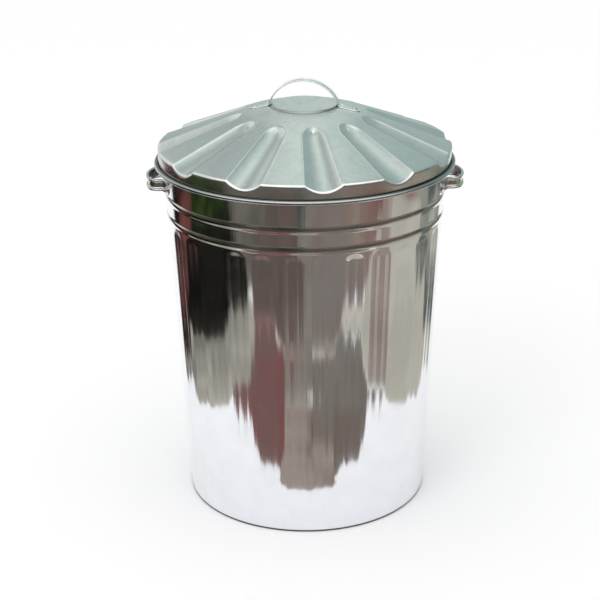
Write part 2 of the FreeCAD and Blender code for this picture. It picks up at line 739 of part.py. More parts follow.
def lid_arch():
    """The lid's strap without its flattened feet."""
    body = new_body("lid_arch")
    share = "places.lid_arch_radius / places.arch_span"
    past_bend = "(places.lid_foot_start + dims.foot_plate)"
    path = [
        ("0", "places.arch_centre_up + places.lid_arch_radius"),
        (f"places.lid_bend_x * {share}",
         f"places.arch_centre_up + (places.lid_bend_up - places.arch_centre_up) * {share}"),
        ("places.lid_foot_start",
         "places.lid_bend_up - dims.strap_bend_radius * cos(places.crown_tilt)"),
        (past_bend, f"places.crown_peak_up + places.foot_line_lift - places.crown_slope * {past_bend}"),
    ]
    arcs = {0: ("0", "places.arch_centre_up", "right"),
            1: ("places.lid_bend_x", "places.lid_bend_up", "left")}
    section = strap_section("0", "places.arch_centre_up + places.lid_arch_radius",
                            "places.lid_strap_half", "dims.lid_strap_edge_radius",
                            "dims.lid_strap_recess", True)
    swept = sweep(body, "lid_strap", "XZ_Plane", path, arcs, "YZ_Plane", section)
    mirror(body, "lid_strap_both", swept, "YZ_Plane")
    return body


def lid_feet():
    """The two flattened feet that lie down the lid's cone."""
    band = new_body("lid_foot_band")
    sketch = new_sketch(band, "lid_foot_band_sketch", "XZ_Plane")
    seat = "dims.fit_clearance / cos(places.crown_tilt)"
    face = "(dims.fit_clearance + dims.foot_plate) / cos(places.crown_tilt)"
    start = "places.lid_foot_start"
    tip = "(places.lid_foot_tip + dims.foot_plate)"
    draw(sketch, [
        (start, f"places.crown_peak_up + {seat} - places.crown_slope * {start}"),
        (tip, f"places.crown_peak_up + {seat} - places.crown_slope * {tip}"),
        (tip, f"places.crown_peak_up + {face} - places.crown_slope * {tip}"),
        (start, f"places.crown_peak_up + {face} - places.crown_slope * {start}"),
    ])
    pad = band.newObject("PartDesign::Pad", "lid_foot_band_pad")
    pad.Profile = sketch
    pad.Midplane = True
    pad.setExpression("Length", "dims.lid_strap_width")
    band.Tip = pad
    mirror(band, "lid_foot_band_both", pad, "YZ_Plane")
    outline = new_body("lid_foot_outline")
    plan = new_sketch(outline, "lid_foot_outline_sketch", "XY_Plane")
    half = "places.lid_strap_half"
    tip_centre = f"(places.lid_foot_tip - {half})"
    draw(plan, [
        (f"(-{tip_centre})", f"(-{half})"),
        (tip_centre, f"(-{half})"),
        (tip_centre, half),
        (f"(-{tip_centre})", half),
    ], {1: (tip_centre, "0", "left"), 3: (f"(-{tip_centre})", "0", "left")})
    slab = outline.newObject("PartDesign::Pad", "lid_foot_outline_pad")
    slab.Profile = plan
    slab.setExpression("Length", "places.strap_top")
    outline.Tip = slab
    feet = doc.addObject("Part::Common", "lid_feet")
    feet.Base = band
    feet.Tool = outline
    return feet


def on_lid(end):
    """Placement of one of the lid's rivets: X along the lid's outward normal."""
    angle = f"(dims.lid_turn + {0 if end == 1 else 180})"
    across = "places.lid_rivet_across"
    return (f"placement(vector({across} * cos({angle}); {across} * sin({angle});"
            f" places.crown_peak_up - places.crown_slope * {across}); rotation(vector(0; 0; 1); {angle})"
            " * rotation(vector(0; 1; 0); places.crown_tilt - 90))")


lid_blank = fuse("lid_strap_blank", [lid_arch(), lid_feet()])
lid_blank_turned = group("lid_strap_turned", [lid_blank])
turn_about_z(lid_blank_turned, "dims.lid_turn")
lid_holes = group("lid_holes", [rivet_hole(f"lid_hole_{n}", on_lid(end))
                                for n, end in enumerate((-1, 1))])
lid_handle = cut("lid_handle", lid_blank_turned, lid_holes)
lid_shell = cut("lid_shell", fuse("lid_sheet_curled", [lid_sheet, lid_curl]), lid_holes)
lid_rivets = group("lid_handle_rivets", [rivet(f"lid_rivet_{n}", on_lid(end))
                                         for n, end in enumerate((-1, 1))])

# ---------------------------------------------------------------- check and write

NODES = ["body_shell", "body_rim_wire", "base_pan", "handle_left", "handle_right",
         "handle_rivets_left", "handle_rivets_right", "lid_shell", "lid_rim_wire",
         "lid_handle", "lid_handle_rivets"]

doc.recompute()
for thing in doc.Objects:
    if {"Invalid", "Error"} & set(thing.State):
        raise RuntimeError(f"{thing.Name} did not build: {thing.State}")

os.makedirs("parts", exist_ok=True)
for node in NODES:
    thing = doc.getObject(node)
    shape = thing.Shape
    if shape.isNull() or not shape.isValid() or not shape.Solids:
        raise RuntimeError(f"{node} has no valid solid")
    box = shape.optimalBoundingBox(False)
    print(f"{node}: {len(shape.Solids)} solids, {shape.Volume:.0f} mm3,"
          f" x {box.XMin:.1f}..{box.XMax:.1f} y {box.YMin:.1f}..{box.YMax:.1f}"
          f" z {box.ZMin:.1f}..{box.ZMax:.1f}")
    shape.exportStep(f"parts/{node}.step")
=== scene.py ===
import math

import bmesh
import bpy
import numpy as np
from mathutils import Matrix, Vector


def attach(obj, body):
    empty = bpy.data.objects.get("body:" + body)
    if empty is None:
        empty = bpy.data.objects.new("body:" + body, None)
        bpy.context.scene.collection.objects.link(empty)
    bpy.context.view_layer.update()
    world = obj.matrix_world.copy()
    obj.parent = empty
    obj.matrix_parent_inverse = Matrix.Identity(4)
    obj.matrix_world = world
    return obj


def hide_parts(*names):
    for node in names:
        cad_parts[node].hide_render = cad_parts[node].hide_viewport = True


# The looks of a galvanised trash can with a lift-off lid.
# Shapes are worked out in millimetres, in the frame's own axes, and turned into metres at the end.

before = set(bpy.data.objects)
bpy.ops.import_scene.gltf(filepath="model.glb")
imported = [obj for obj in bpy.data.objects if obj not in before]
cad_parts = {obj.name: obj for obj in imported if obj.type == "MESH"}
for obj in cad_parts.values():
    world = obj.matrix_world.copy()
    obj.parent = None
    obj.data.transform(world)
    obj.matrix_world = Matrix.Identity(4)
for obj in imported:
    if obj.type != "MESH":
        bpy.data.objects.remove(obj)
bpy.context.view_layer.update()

MM = 0.001

# ---------------------------------------------------------------- sizes, in millimetres

SHEET = 0.6
FIT = 0.05

CAN_HEIGHT = 558.9
FOOT_RADIUS = 190.3
MOUTH_RADIUS = 217.0
RIM_CURL = 2.8
CURL_GAP = math.radians(55)
SWAGES = (467.5, 498.5)
SWAGE_HALF = 6.0
SWAGE_RISE = 1.2
SWAGE_CREST = 0.8
SWAGE_FOOT = 0.5
HEM_HEIGHT = 10.0
HEM_LINE = 3.0
HEM_CREASE = 0.3

FLUTES = 30
FLUTE_TURN = math.radians(1.2)
FLUTE_BOTTOM = 39.5
FLUTE_TOP = 459.5
FLUTE_DEPTH = 0.76
FLUTE_END = 13.0
FLUTE_SHARE = 0.8
FLUTE_FLOOR_SHARE = 0.41
SEAM_HALF = 4.0
SEAM_PROUD = 1.5

FLOOR_HEIGHT = 16.0
PANEL_RADIUS = 150.0
PANEL_RISE = 3.0

EDGE = 2.3
WEB = 1.0
WEB_RECESS = 1.0
BEND = 5.0
FOOT_PLATE = 1.6
HANDLE_HEIGHT = 514.2
HANDLE_HALF = 9.5
HANDLE_REACH = 29.6
HANDLE_LEG = 36.0
HANDLE_BULGE = 4.2
HANDLE_CORNER = 15.0
HANDLE_TIP = 68.0

RIVET_RADIUS = 4.4
RIVET_RISE = 2.0
RIVET_TAIL_RADIUS = 3.8
RIVET_TAIL_RISE = 1.2

LID_TURN = math.radians(-8)
LID_SIDE_CLEARANCE = 1.36
LID_SEAT_CLEARANCE = 0.3
LID_BEAD = 3.5
LID_SKIRT = 25.0
LID_FLARE = 1.2
LID_RISE = 84.0
DISC_RADIUS = 49.5
DISC_STEP = 2.6
DISC_RUN = 2.0
LID_FLUTES = 12
LID_FLUTE_WIDTH = 55.0
LID_FLUTE_DEPTH = 10.5
LID_FLUTE_INSET = 18.0
LID_FLUTE_BACK = 75.0
CROWN_WIDTH = 42.5
CROWN_DROP = 8.8
LID_STRAP_HALF = 8.0
LID_STRAP_EDGE = 1.1
LID_STRAP_RECESS = 0.4
LID_STRAP_RISE = 37.8
ARCH_MARGIN = 7.5
LID_RIVET_INSET = 19.5
LID_FOOT_END = 9.0

# ---------------------------------------------------------------- worked-out places

WALL_SLOPE = (MOUTH_RADIUS - FOOT_RADIUS) / CAN_HEIGHT


def wall(height):
    """Outside radius of the plain wall at a height."""
    return FOOT_RADIUS + WALL_SLOPE * height


RIM_UP = CAN_HEIGHT - RIM_CURL
RIM_ACROSS = wall(RIM_UP) - SHEET + RIM_CURL
SKIRT_INSIDE = RIM_ACROSS + RIM_CURL + LID_SIDE_CLEARANCE
BEAD_ACROSS = SKIRT_INSIDE + LID_BEAD
CORNER_ACROSS = SKIRT_INSIDE + SHEET + LID_FLARE
CROWN_RADIUS = DISC_RADIUS + CROWN_WIDTH
CROWN_SLOPE = CROWN_DROP / CROWN_WIDTH
CROWN_TILT = math.atan(CROWN_SLOPE)
LID_SLOPE = (LID_RISE - CROWN_DROP - LID_SKIRT) / (CORNER_ACROSS - CROWN_RADIUS)
LID_TILT = math.atan(LID_SLOPE)
FLUTE_SIDE = CORNER_ACROSS / math.cos(LID_TILT) + LID_FLUTE_BACK
FLOOR_TILT = LID_TILT + math.atan(LID_FLUTE_DEPTH / FLUTE_SIDE)
POINT_BACK = LID_FLUTE_BACK * math.cos(LID_TILT)
POINT_UP = RIM_UP + ((RIM_ACROSS + POINT_BACK) * math.sin(FLOOR_TILT) + RIM_CURL + LID_SEAT_CLEARANCE
                     + SHEET) / math.cos(FLOOR_TILT)
PEAK_UP = POINT_UP - LID_FLUTE_BACK * math.sin(LID_TILT)
BEAD_UP = PEAK_UP - LID_SKIRT - LID_SLOPE * CORNER_ACROSS
CROWN_PEAK_UP = BEAD_UP + LID_RISE + CROWN_SLOPE * DISC_RADIUS
DISC_UP = BEAD_UP + LID_RISE + DISC_STEP
STRAP_TOP = DISC_UP + LID_STRAP_RISE

# where the lid's strap meets the crown: the centre of its bend, and the start of its foot
ARCH = DISC_RADIUS + ARCH_MARGIN
ARCH_UP = STRAP_TOP - LID_STRAP_EDGE - ARCH
FOOT_LIFT = (FIT + LID_STRAP_EDGE) / math.cos(CROWN_TILT)
BEND_LIFT = FOOT_LIFT + BEND / math.cos(CROWN_TILT)
BEND_GAP = CROWN_PEAK_UP + BEND_LIFT - ARCH_UP
ARCH_SPAN = ARCH + BEND
BEND_X = (CROWN_SLOPE * BEND_GAP + math.sqrt((CROWN_SLOPE * BEND_GAP) ** 2 - (1 + CROWN_SLOPE ** 2)
                                             * (BEND_GAP ** 2 - ARCH_SPAN ** 2))) / (1 + CROWN_SLOPE ** 2)
BEND_UP = CROWN_PEAK_UP + BEND_LIFT - CROWN_SLOPE * BEND_X
LID_FOOT_START = BEND_X - BEND * math.sin(CROWN_TILT)
LID_RIVET = LID_FOOT_START + LID_RIVET_INSET
LID_TIP = LID_RIVET + LID_FOOT_END

# ---------------------------------------------------------------- mesh helpers


def add_mesh(name, points, faces, material, smooth=True):
    """A mesh object from points in millimetres."""
    mesh = bpy.data.meshes.new(name)
    mesh.from_pydata((np.asarray(points, float).reshape(-1, 3) * MM).tolist(), [], faces)
    mesh.update()
    if smooth:
        mesh.shade_smooth()
    thing = bpy.data.objects.new(name, mesh)
    bpy.context.scene.collection.objects.link(thing)
    mesh.materials.append(material)
    return thing


def grid_faces(rows, columns, close_rows, close_columns, start=0):
    """Quads between neighbouring rows and columns of a grid of points."""
    row = np.arange(rows if close_rows else rows - 1)
    column = np.arange(columns if close_columns else columns - 1)
    r, c = (side.ravel() for side in np.meshgrid(row, column, indexing="ij"))
    r_next, c_next = (r + 1) % rows, (c + 1) % columns
    quads = np.stack([r * columns + c, r * columns + c_next,
                      r_next * columns + c_next, r_next * columns + c], axis=1) + start
    return quads.tolist()


def ring_points(radius, up, angles):
    """Points round the z axis from radius and height arrays of one shape."""
    return np.stack([radius * np.cos(angles), radius * np.sin(angles),
                     np.broadcast_to(up, radius.shape)], axis=-1)


def turned_mesh(name, profile, columns, material, placement=None, close=False):
    """A profile of (radius, height) points turned round the z axis; ends at radius 0 are closed."""
    profile = np.asarray(profile, float)
    angles = np.linspace(0, 2 * np.pi, columns, endpoint=False)
    radius = np.repeat(profile[:, :1], columns, axis=1)
    up = np.repeat(profile[:, 1:], columns, axis=1)
    points = ring_points(radius, up, angles[None, :]).reshape(-1, 3)
    faces = grid_faces(len(profile), columns, close, True)
    if not close:
        for end in (0, len(profile) - 1):
            ring = [end * columns + n for n in range(columns)]
            faces.append(ring[::-1] if end == 0 else ring)
    if placement is not None:
        points = points @ np.array(placement.to_3x3()).T + np.array(placement.translation)
    return add_mesh(name, points, faces, material)


def smooth_step(low, high, value):
    share = np.clip((value - low) / (high - low), 0, 1)
    return share * share * (3 - 2 * share)


def soft_positive(value, width):
    """The value where it is positive and 0 elsewhere, with a rounded corner."""
    return 0.5 * (value + np.sqrt(value * value + width * width))


def soft_min(first, second, width):
    share = np.clip(0.5 + 0.5 * (second - first) / width, 0, 1)
    return second * (1 - share) + first * share - width * share * (1 - share)


def spans(*stops):
    """Values from stop to stop: stops are (value, step to the next stop)."""
    values = []
    for (low, step), (high, _) in zip(stops, stops[1:]):
        count = max(1, round((high - low) / step))
        values += list(np.linspace(low, high, count, endpoint=False))
    return np.array(values + [stops[-1][0]])


# ---------------------------------------------------------------- the can's wall

FLUTE_COLUMNS = 36
CREASE_WIDTH = 0.10
SEAM_EDGE = 0.9
SEAM_ANGLE = FLUTE_TURN + (FLUTES // 4 + 0.5) * 2 * math.pi / FLUTES
CURL_STEPS = 22


def wall_columns():
    """Angles round the can, with more of them at the seam's edges."""
    even = np.linspace(0, 2 * np.pi, FLUTES * FLUTE_COLUMNS, endpoint=False)
    offsets = np.array([-SEAM_EDGE, -SEAM_EDGE / 2, 0, SEAM_EDGE / 2])
    edges = [SEAM_ANGLE + (side * SEAM_HALF + side * offset) / wall(CAN_HEIGHT / 2)
             for side in (-1, 1) for offset in offsets]
    return np.unique(np.concatenate([even, edges]))


def flute_depth(angles, up):
    """How far the wall is pressed in: flat floors, plain flanks and arched ends."""
    period = 2 * np.pi / FLUTES
    across = np.abs((angles - FLUTE_TURN + period / 2) % period - period / 2) / (period / 2)
    beyond = np.maximum(FLUTE_BOTTOM + FLUTE_END - up, up - (FLUTE_TOP - FLUTE_END))
    along = np.maximum(beyond, 0) / FLUTE_END
    reach = np.sqrt((across / FLUTE_SHARE) ** 2 + along ** 2)
    flank = (1 - reach) / (1 - FLUTE_FLOOR_SHARE)
    pressed = 1 - soft_positive(1 - soft_positive(flank, CREASE_WIDTH), CREASE_WIDTH)
    return FLUTE_DEPTH * np.clip(pressed, 0, None)


def swage_rise(up):
    """How far the two swages stand out, with soft feet."""
    rise = np.zeros_like(up)
    for centre in SWAGES:
        off = np.abs(up - centre)
        rise = np.maximum(rise, SWAGE_RISE * (1 - smooth_step(SWAGE_CREST, SWAGE_HALF + SWAGE_FOOT, off)))
    return rise


def seam_rise(angles, up):
    across = np.abs(angles - SEAM_ANGLE) * wall(up)
    inside = 1 - smooth_step(SEAM_HALF - SEAM_EDGE, SEAM_HALF, across)
    ends = smooth_step(HEM_HEIGHT, HEM_HEIGHT + 1, up) \
        * (1 - smooth_step(RIM_UP - RIM_CURL - 2, RIM_UP - RIM_CURL - SHEET, up))
    return SEAM_PROUD * inside * ends


def make_body_shell(material):
    """The wall as one closed sheet: hem, flutes, swages and the curl round the rim's wire."""
    angles = wall_columns()[None, :]
    fine, coarse = 1.0, 24.0
    up = spans((1.0, 0.5), (4.0, 3.0), (FLUTE_BOTTOM - 1, fine), (FLUTE_BOTTOM + FLUTE_END + 1, coarse),
               (FLUTE_TOP - FLUTE_END - 1, fine), (SWAGES[0] + SWAGE_HALF + 2, 4.0),
               (SWAGES[1] - SWAGE_HALF - 2, fine), (SWAGES[1] + SWAGE_HALF + 2, 8.0), (RIM_UP, 1.0))[:, None]
    outer = wall(up) + swage_rise(up) - flute_depth(angles, up) + seam_rise(angles, up)
    outer = outer - HEM_CREASE * np.exp(-((up - HEM_LINE) / 0.5) ** 2)
    inner = wall(up) - SHEET + swage_rise(up) - flute_depth(angles, up)

    def arc(centre_across, centre_up, radius, start, stop, count):
        turn = np.linspace(start, stop, count)[:, None]
        radius_row = centre_across + radius * np.cos(turn) + 0 * angles
        return radius_row, centre_up + radius * np.sin(turn) + 0 * angles

    # the curl starts on the sheet's inside, at angle pi, and turns outwards over the wire
    stop = CURL_GAP - math.pi
    wire_side = arc(RIM_ACROSS, RIM_UP, RIM_CURL - SHEET, math.pi, stop, CURL_STEPS)
    open_side = arc(RIM_ACROSS, RIM_UP, RIM_CURL, stop, math.pi, CURL_STEPS)
    foot_half = (3 * SHEET + 2 * FIT) / 2
    foot = arc(FOOT_RADIUS - foot_half, 1.0, foot_half, -math.pi, 0, 9)
    foot = (foot[0], 1.0 + (foot[1] - 1.0) / foot_half)
    hem_up = np.array([[HEM_HEIGHT], [1.0]])
    hem = wall(hem_up) - 2 * foot_half + 0 * angles
    above_hem = up[:, 0] > HEM_HEIGHT
    rows_radius = [outer, wire_side[0], open_side[0], inner[above_hem][::-1], hem, foot[0]]
    rows_up = [up + 0 * angles, wire_side[1], open_side[1], (up + 0 * angles)[above_hem][::-1],
               hem_up + 0 * angles, foot[1]]
    radius = np.concatenate(rows_radius)
    height = np.concatenate(rows_up)
    points = ring_points(radius, height, np.broadcast_to(angles, radius.shape))
    return add_mesh("can_wall", points, grid_faces(*radius.shape, True, True), material)


def make_base_pan(material):
    """The pressed floor with its raised panel and its flange down into the hem."""
    flange = SHEET + FIT
    edge = wall(FLOOR_HEIGHT) - flange
    top = [(0, FLOOR_HEIGHT + PANEL_RISE), (PANEL_RADIUS - 3, FLOOR_HEIGHT + PANEL_RISE),
           (PANEL_RADIUS - 1, FLOOR_HEIGHT + PANEL_RISE - 0.3),
           (PANEL_RADIUS + PANEL_RISE - 1, FLOOR_HEIGHT + 0.4), (PANEL_RADIUS + PANEL_RISE + 2, FLOOR_HEIGHT),
           (edge - 2.5, FLOOR_HEIGHT), (edge - 0.7, FLOOR_HEIGHT - 0.6), (edge, FLOOR_HEIGHT - 2.5),
           (wall(flange) - flange, flange)]
    under = [(max(radius - SHEET, 0) if up < FLOOR_HEIGHT - 0.5 else radius,
              up - (SHEET if up > flange else 0))
             for radius, up in top[::-1]]
    return turned_mesh("can_floor", (top + under)[1:-1], 160, material)


# ---------------------------------------------------------------- straps

EDGE_POINTS = 20
TIP_STEPS = 8
TIP_TURN = math.radians(86)

# how far before and past the start of its foot a strap goes flat
FLATTEN_BEFORE, FLATTEN_PAST = 1.5, 7.5
LID_FLATTEN_BEFORE, LID_FLATTEN_PAST = 1.0, 7.0


def strap_sections(half, edge, recess):
    """Outlines of a strap across its width: with rolled edges, and flattened to a plate."""
    centre = half - edge
    face, back = WEB / 2 - recess, -WEB / 2 - recess
    start, stop = math.pi - math.asin(face / edge), -(math.pi - math.asin(-back / edge))
    turn = np.linspace(start, stop, EDGE_POINTS)
    rolled = np.stack([centre + edge * np.cos(turn), edge * np.sin(turn)], axis=1)
    web_reach = rolled[0, 0]
    round_edge = FOOT_PLATE / 2
    flat = []
    for angle in turn:
        if angle > math.pi / 2:
            share = (angle - math.pi / 2) / (start - math.pi / 2)
            flat.append((half - round_edge - share * (half - round_edge - web_reach), FOOT_PLATE - edge))
        elif angle < -math.pi / 2:
            share = (-angle - math.pi / 2) / (-stop - math.pi / 2)
            flat.append((half - round_edge - share * (half - round_edge - web_reach), -edge))
        else:
            flat.append((half - round_edge + round_edge * math.cos(angle),
                         round_edge - edge + round_edge * math.sin(angle)))
    flat = np.array(flat)

    def whole(side, depth_face, depth_back):
        mirrored = side[::-1] * (-1, 1)
        web = np.linspace(-1, 1, 5)[1:-1, None]
        face_row = np.hstack([web * side[0, 0], 0 * web + depth_face])
        back_row = np.hstack([-web * side[-1, 0], 0 * web + depth_back])
        return np.vstack([side, back_row, mirrored, face_row])

    return whole(rolled, face, back), whole(flat, FOOT_PLATE - edge, -edge)


def arc_run(centre, radius, start, stop, step=2.5):
    """Points of a path along an arc, with the way it points; start and stop are angles."""
    count = max(3, round(abs(stop - start) * radius / step) + 1)
    turn = np.linspace(start, stop, count)
    sign = 1 if stop > start else -1
    spots = np.stack([centre[0] + radius * np.cos(turn), centre[1] + radius * np.sin(turn)], axis=1)
    return spots, np.stack([-sign * np.sin(turn), sign * np.cos(turn)], axis=1)


def line_run(start, stop, step=2.5):
    start, stop = np.array(start, float), np.array(stop, float)
    length = np.linalg.norm(stop - start)
    share = np.linspace(0, 1, max(2, round(length / step) + 1))[:, None]
    ways = np.repeat(((stop - start) / length)[None, :], len(share), axis=0)
    return start + share * (stop - start), ways


def join_runs(runs):
    spots = np.vstack([run[0] if n == 0 else run[0][1:] for n, run in enumerate(runs)])
    ways = np.vstack([run[1] if n == 0 else run[1][1:] for n, run in enumerate(runs)])
    return spots, ways


def strap_rings(spots, ways, flat, half, tip, edge, recess):
    """Sections along a half strap from its middle: (along, across, outwards) rings before placing.

    flat says how far each section is flattened, and tip how far each one lies past the foot's centre.
    """
    rolled, plate = strap_sections(half, edge, recess)
    rings = []
    for spot, way, share, past in zip(spots, ways, flat, tip):
        outline = rolled * (1 - share) + plate * share
        narrow = math.sqrt(max(0.0, 1 - (past / half) ** 2)) if past > 0 else 1
        rings.append((spot, way, outline[:, 0] * narrow, outline[:, 1]))
    return rings


def strap_mesh(name, half_points, mirrored_points, material):
    """Join both halves of a strap, from tip to tip, and close its tips."""
    points = np.concatenate([mirrored_points[::-1], half_points[1:]])
    rows, columns = points.shape[:2]
    faces = grid_faces(rows, columns, False, True)
    faces.append(list(range(columns))[::-1])
    faces.append([(rows - 1) * columns + n for n in range(columns)])
    strap = add_mesh(name, points, faces, material)
    fix_normals(strap)
    return strap


def fix_normals(thing):
    """Point all faces of a closed mesh outwards."""
    shell = bmesh.new()
    shell.from_mesh(thing.data)
    bmesh.ops.recalc_face_normals(shell, faces=shell.faces)
    shell.to_mesh(thing.data)
    shell.free()


def run_length(spots):
    steps = np.linalg.norm(np.diff(spots, axis=0), axis=1)
    return np.concatenate([[0], np.cumsum(steps)])


def make_side_handle(name, side, material):
    """A carrying strap: a bow, two corners, two legs and flattened feet on the wall."""
    far = wall(HANDLE_HEIGHT) + HANDLE_REACH - EDGE
    foot_line = wall(HANDLE_HEIGHT + HANDLE_HALF) + FIT + EDGE
    corner_y = HANDLE_LEG - HANDLE_CORNER
    corner_x = far - HANDLE_CORNER - HANDLE_BULGE
    bow = HANDLE_CORNER + HANDLE_BULGE / 2 + corner_y ** 2 / (2 * HANDLE_BULGE)
    bow_centre = far - bow
    corner_turn = math.atan2(corner_y, corner_x - bow_centre)
    bend_y = HANDLE_LEG + BEND
    bend_turn = math.asin(bend_y / (foot_line + BEND))
    bend_x = (foot_line + BEND) * math.cos(bend_turn)
    tip_y = HANDLE_TIP - HANDLE_HALF
    tip_turn = math.asin(tip_y / foot_line)
    tip_angles = tip_turn + (HANDLE_HALF / foot_line) * np.sin(np.linspace(0, TIP_TURN, TIP_STEPS))
    foot = arc_run((0, 0), foot_line, bend_turn, tip_turn, 1.5)
    tip = (np.stack([foot_line * np.cos(tip_angles), foot_line * np.sin(tip_angles)], axis=1),
           np.stack([-np.sin(tip_angles), np.cos(tip_angles)], axis=1))
    spots, ways = join_runs([
        arc_run((bow_centre, 0), bow, 0, corner_turn),
        arc_run((corner_x, corner_y), HANDLE_CORNER, corner_turn, math.pi / 2, 1.5),
        line_run((corner_x, HANDLE_LEG), (bend_x, HANDLE_LEG), 1.5),
        arc_run((bend_x, bend_y), BEND, -math.pi / 2, -math.pi + bend_turn, 0.8),
        foot, tip])
    lengths = run_length(spots)
    foot_start = lengths[-1] - HANDLE_HALF - foot_line * (tip_turn - bend_turn)
    flat = smooth_step(foot_start - FLATTEN_BEFORE, foot_start + FLATTEN_PAST, lengths)
    past = np.full(len(spots), -1.0)
    past[-TIP_STEPS:] = HANDLE_HALF * np.sin(np.linspace(0, TIP_TURN, TIP_STEPS))

    def placed(mirror):
        rings = []
        bare = strap_rings(spots, ways, flat, HANDLE_HALF, past, EDGE, WEB_RECESS)
        for (spot, way, across, out), share in zip(bare, flat):
            outward = np.array([way[1], -way[0]])
            up = HANDLE_HEIGHT + across
            lean = share * WALL_SLOPE * (across - HANDLE_HALF)
            plan = spot[None, :] + outward[None, :] * (out + lean)[:, None]
            ring = np.stack([plan[:, 0] * side, plan[:, 1] * mirror, up], axis=1)
            rings.append(ring)
        return np.array(rings)

    return strap_mesh(name, placed(1), placed(-1), material)


def make_lid_handle(material):
    """The arched strap over the lid's disc, with feet that lie on the crown."""
    turn = math.atan2(BEND_UP - ARCH_UP, BEND_X)
    tip_x = LID_TIP - LID_STRAP_HALF

    def on_foot(x):
        return x, CROWN_PEAK_UP + FOOT_LIFT - CROWN_SLOPE * x

    foot = line_run(on_foot(LID_FOOT_START), on_foot(tip_x), 1.5)
    beyond = LID_STRAP_HALF * np.sin(np.linspace(0, TIP_TURN, TIP_STEPS))
    tip_spots = np.array([on_foot(tip_x + step) for step in beyond])
    tip = (tip_spots, np.repeat(foot[1][:1], TIP_STEPS, axis=0))
    spots, ways = join_runs([
        arc_run((0, ARCH_UP), ARCH, math.pi / 2, turn),
        arc_run((BEND_X, BEND_UP), BEND, math.pi + turn, 1.5 * math.pi - CROWN_TILT, 0.8),
        foot, tip])
    lengths = run_length(spots)
    foot_start = lengths[-1] - run_length(foot[0])[-1] - run_length(tip_spots)[-1]
    flat = smooth_step(foot_start - LID_FLATTEN_BEFORE, foot_start + LID_FLATTEN_PAST, lengths)
    past = np.full(len(spots), -1.0)
    past[-TIP_STEPS:] = beyond
    cos_turn, sin_turn = math.cos(LID_TURN), math.sin(LID_TURN)

    def placed(mirror):
        rings = []
        for spot, way, across, out in strap_rings(spots, ways, flat, LID_STRAP_HALF, past,
                                                  LID_STRAP_EDGE, LID_STRAP_RECESS):
            outward = np.array([-way[1], way[0]])
            plane = spot[None, :] + outward[None, :] * out[:, None]
            x, y = plane[:, 0] * mirror, across
            rings.append(np.stack([x * cos_turn - y * sin_turn, x * sin_turn + y * cos_turn,
                                   plane[:, 1]], axis=1))
        return np.array(rings)

    return strap_mesh("lid_strap", placed(1), placed(-1), material)


# ---------------------------------------------------------------- rivets


def make_rivet(name, spot, axis, material):
    """A domed head with a small dimple on the foot, a shank and a flat tail inside the sheet."""
    seat = FOOT_PLATE + 2 * FIT
    tail = -SHEET - 2 * FIT
    profile = [(1.0, tail - RIVET_TAIL_RISE), (RIVET_TAIL_RADIUS - 0.4, tail - RIVET_TAIL_RISE),
               (RIVET_TAIL_RADIUS, tail - RIVET_TAIL_RISE + 0.4), (RIVET_TAIL_RADIUS, tail),
               (2.3, tail), (2.3, seat), (RIVET_RADIUS, seat), (RIVET_RADIUS, seat + 0.3)]
    dome = [(RIVET_RADIUS * math.cos(turn), seat + 0.3 + (RIVET_RISE - 0.3) * math.sin(turn))
            for turn in np.linspace(0, math.pi / 2, 10)[1:-1]]
    dimple = [(0.9, seat + RIVET_RISE - 0.25), (0.3, seat + RIVET_RISE - 0.45)]
    turned = axis.to_track_quat("Z", "Y").to_matrix().to_4x4()
    placement = Matrix.Translation(spot) @ turned
    return turned_mesh(name, profile + dome + dimple, 28, material, placement)


def wall_rivet_places(side):
    """Spots on the wall's surface and outward normals of a side handle's two rivets."""
    radius = wall(HANDLE_HEIGHT)
    turn = math.asin((HANDLE_TIP - HANDLE_HALF) / radius)
    tilt = math.atan(WALL_SLOPE)
    for end in (-1, 1):
        angle = end * turn + (math.pi if side < 0 else 0)
        outward = Vector((math.cos(angle) * math.cos(tilt), math.sin(angle) * math.cos(tilt),
                          -math.sin(tilt)))
        yield Vector((radius * math.cos(angle), radius * math.sin(angle), HANDLE_HEIGHT)), outward


def lid_rivet_places():
    for end in (-1, 1):
        angle = LID_TURN + (0 if end == 1 else math.pi)
        outward = Vector((math.sin(CROWN_TILT) * math.cos(angle), math.sin(CROWN_TILT) * math.sin(angle),
                          math.cos(CROWN_TILT)))
        yield Vector((LID_RIVET * math.cos(angle), LID_RIVET * math.sin(angle),
                      CROWN_PEAK_UP - CROWN_SLOPE * LID_RIVET)), outward


# ---------------------------------------------------------------- the lid

LID_COLUMNS = 900
FLUTE_EDGE = 1.0
CROWN_BLEND = 1.6
FLUTE_ROUND = 23.0
FLUTE_REACH = 16.5
FLUTE_INNER_END = CROWN_RADIUS + LID_FLUTE_INSET - FLUTE_REACH
SHEET_UPRIGHT = 1.08 * SHEET
BEAD_STEPS = 24
LID_LIP = 0.45
LID_LIP_SIZE = 1.8
DIMPLE_INSET = 9.0
DIMPLE_ACROSS = FLUTE_INNER_END + DIMPLE_INSET
DIMPLE_SIZE = 3.0
DIMPLE_DEPTH = 1.1
CORNER_IN = 4.0
CORNER_DOWN = 4.5


